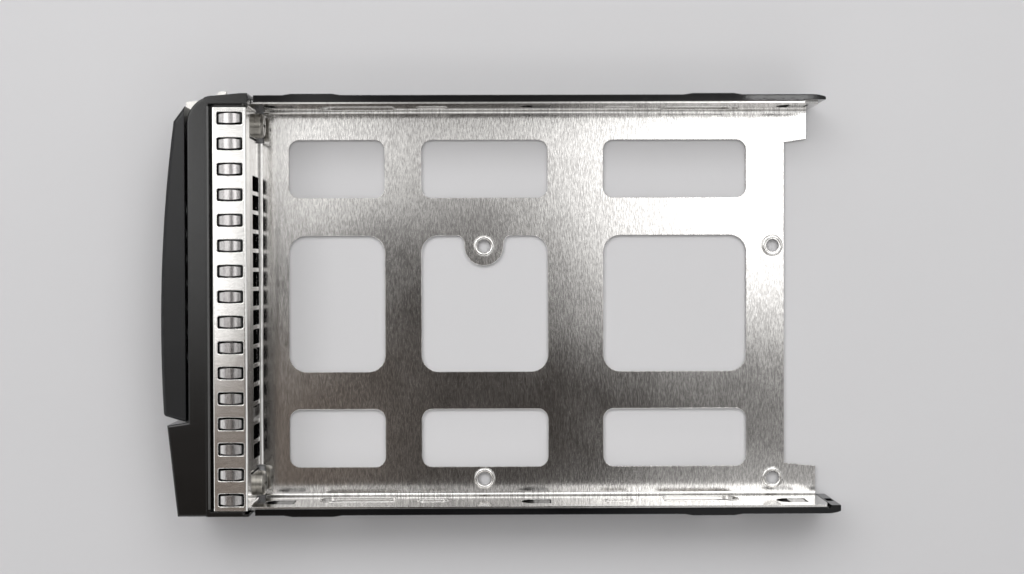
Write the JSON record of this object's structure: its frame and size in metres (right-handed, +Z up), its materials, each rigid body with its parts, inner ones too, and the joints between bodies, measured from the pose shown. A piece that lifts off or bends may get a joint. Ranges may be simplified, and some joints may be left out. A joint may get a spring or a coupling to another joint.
{
  "type": "hard drive tray",
  "caption": "Open folded-steel drive tray with windowed base, moulded slide rails and bezel, a lever handle on a side pivot, a thumb release and a sprung contact strip along the front.",
  "frame": {"origin": "on the underside of the base, on the centre line, at the middle of the bar between the rear and middle windows", "axes": "+X towards the rear end, which enters the bay first, +Y towards the lever's pivot side, +Z up, out of the open tray"},
  "size_m": [0.1711, 0.1084, 0.0255],
  "materials": {
    "tray_steel": "brushed across the tray, fine grain",
    "rail_plastic": "glossy black moulding",
    "bezel_plastic": "satin black moulding",
    "shield_steel": "bright stamped strip",
    "finger_steel": "bright spring steel",
    "lever_plastic": "satin charcoal",
    "plate_steel": "stamped steel",
    "pin_steel": "ground pin",
    "slider_plastic": "satin black moulding",
    "coil_steel": "drawn wire",
    "guide_clear": "clear polished edge",
    "screw_steel": "zinc plated"
  },
  "bodies": {
    "tray": {"tray_sheet": "tray_steel", "side_rail_left": "rail_plastic", "side_rail_right": "rail_plastic", "front_bezel": "bezel_plastic", "emi_shield": "shield_steel", "emi_spring_strip": "finger_steel", "hinge_pin": "pin_steel", "release_spring": "coil_steel", "light_guide_upper": "guide_clear", "light_guide_lower": "guide_clear", "bezel_screws": "screw_steel"},
    "lever": {"lever_handle": "lever_plastic", "lever_plate": "plate_steel"},
    "release": {"release_slider": "slider_plastic"}
  },
  "joints": [
    {"name": "lever_turn", "type": "hinge", "parent": "tray", "child": "lever", "pos_m": [-0.0935, 0.048, 0.0122], "axis": [0, 0, -1], "range_deg": [0, 45]},
    {"name": "release_slide", "type": "slide", "parent": "tray", "child": "release", "axis": [0, -1, 0], "range_m": [0, 0.0025], "stiffness_N_per_m": 300, "springref_m": -0.001, "deforming": ["release_spring"]}
  ]
}
